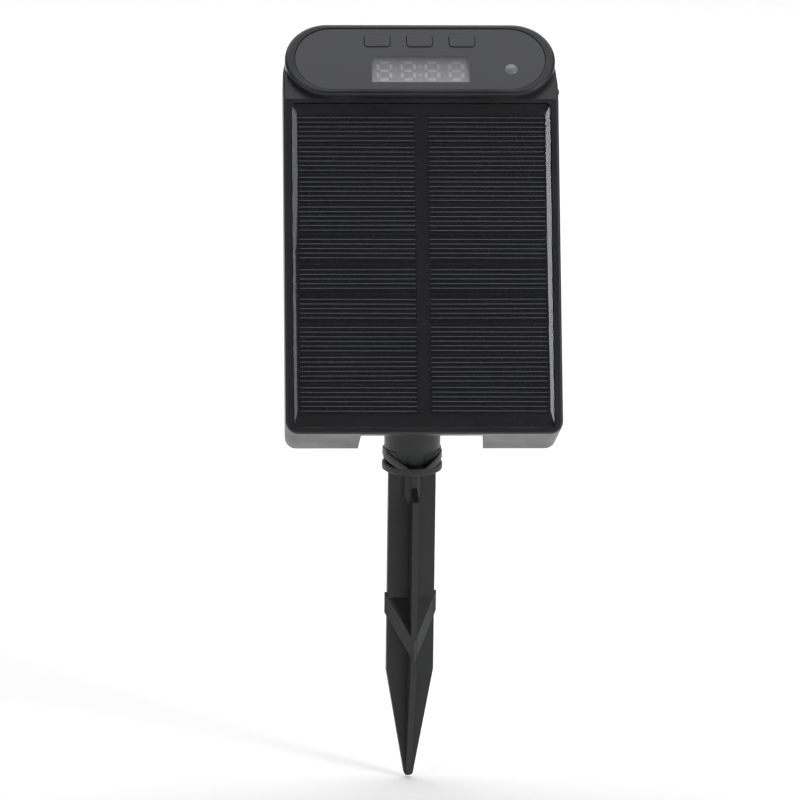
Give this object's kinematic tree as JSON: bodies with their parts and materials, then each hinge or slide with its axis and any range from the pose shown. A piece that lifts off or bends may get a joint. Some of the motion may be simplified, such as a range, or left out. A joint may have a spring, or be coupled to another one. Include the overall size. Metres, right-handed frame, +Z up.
{
  "type": "fence energizer",
  "caption": "Solar fence energizer: tilting case with a solar panel, a sloping display head with keys, and a barbed ground stake.",
  "frame": {"origin": "on the stake's axis at the underside of its flange, which is the ground line", "axes": "+Z up along the stake, the solar panel faces -Y, +X to the right of someone who faces the panel"},
  "size_m": [0.1178, 0.1125, 0.3238],
  "materials": {
    "black_case": "satin moulded ABS",
    "seal_rubber": "silicone seal",
    "panel_black": "black board",
    "silicon": "dark cells under resin",
    "clear_resin": "clear cast resin",
    "face_film": "fine matte film",
    "key_film": "fine matte film",
    "smoked_window": "smoked window",
    "display_black": "grey display body",
    "segment_white": "unlit segments",
    "lamp_lens": "diffusing lens",
    "circuit_board": "solder mask",
    "switch_black": "moulded",
    "zinc_steel": "zinc plated",
    "black_steel": "black oxide",
    "black_inner": "moulded",
    "cell_sleeve": "shrink sleeve",
    "spring_steel": "nickel plated",
    "capacitor_blue": "boxed film capacitor",
    "ferrite": "ferrite",
    "winding_tape": "insulating tape",
    "capacitor_black": "shrink sleeve",
    "lead_red": "insulated lead",
    "nylon_washer": "nylon",
    "stake_plastic": "moulded polypropylene",
    "nut_red": "moulded red",
    "nut_green": "moulded green"
  },
  "bodies": {
    "stake": {"ground_stake": "stake_plastic"},
    "socket": {"socket_tube": "black_case", "pivot_bush": "nylon_washer"},
    "case": {"front_shell": "black_case", "rear_shell": "black_case", "case_gasket": "seal_rubber", "solar_backing": "panel_black", "solar_cells": "silicon", "solar_cover": "clear_resin", "control_face": "face_film", "display_window": "smoked_window", "display_module": "display_black", "display_segments": "segment_white", "status_lens": "lamp_lens", "status_led": "lamp_lens", "control_board": "circuit_board", "tact_switches": "switch_black", "main_board": "circuit_board", "board_screws": "zinc_steel", "case_screws": "black_steel", "battery_cradle": "black_inner", "battery_cell": "cell_sleeve", "battery_contacts": "spring_steel", "storage_capacitor": "capacitor_blue", "transformer_core": "ferrite", "transformer_winding": "winding_tape", "board_capacitors": "capacitor_black", "board_parts": "switch_black", "pulse_leads": "lead_red", "battery_leads": "lead_red", "panel_leads": "lead_red", "fence_stud": "zinc_steel", "earth_stud": "zinc_steel", "terminal_washers": "zinc_steel", "power_switch": "switch_black", "pivot_bolt": "zinc_steel", "hinge_washers": "nylon_washer"},
    "knob": {"tilt_knob": "black_inner"},
    "left_key": {"key_1": "key_film"},
    "middle_key": {"key_2": "key_film"},
    "right_key": {"key_3": "key_film"},
    "slider": {"power_slider": "switch_black"},
    "fence_nut": {"fence_nut": "nut_red"},
    "earth_nut": {"earth_nut": "nut_green"}
  },
  "joints": [
    {"name": "socket_swivel", "type": "hinge", "parent": "stake", "child": "socket", "pos_m": [0, 0, 0], "axis": [0, 0, 1], "continuous": true},
    {"name": "case_tilt", "type": "hinge", "parent": "socket", "child": "case", "pos_m": [0, 0, 0.087], "axis": [1, 0, 0], "range_deg": [-48, 27]},
    {"name": "tilt_knob_turn", "type": "hinge", "parent": "case", "child": "knob", "pos_m": [0, 0, 0.087], "axis": [1, 0, 0], "continuous": true},
    {"name": "left_key_press", "type": "slide", "parent": "case", "child": "left_key", "axis": [0, 0.6561, -0.7547], "range_m": [0, 0.0006], "stiffness_N_per_m": 900, "springref_m": -0.0008},
    {"name": "middle_key_press", "type": "slide", "parent": "case", "child": "middle_key", "axis": [0, 0.6561, -0.7547], "range_m": [0, 0.0006], "stiffness_N_per_m": 900, "springref_m": -0.0008},
    {"name": "right_key_press", "type": "slide", "parent": "case", "child": "right_key", "axis": [0, 0.6561, -0.7547], "range_m": [0, 0.0006], "stiffness_N_per_m": 900, "springref_m": -0.0008},
    {"name": "power_slide", "type": "slide", "parent": "case", "child": "slider", "axis": [0, 0.454, 0.891], "range_m": [0, 0.002]},
    {"name": "fence_nut_turn", "type": "hinge", "parent": "case", "child": "fence_nut", "pos_m": [0.0353, 0.03738, 0.12071], "axis": [0, 0.891, -0.454], "continuous": true},
    {"name": "earth_nut_turn", "type": "hinge", "parent": "case", "child": "earth_nut", "pos_m": [-0.0307, 0.03738, 0.12071], "axis": [0, 0.891, -0.454], "continuous": true}
  ]
}
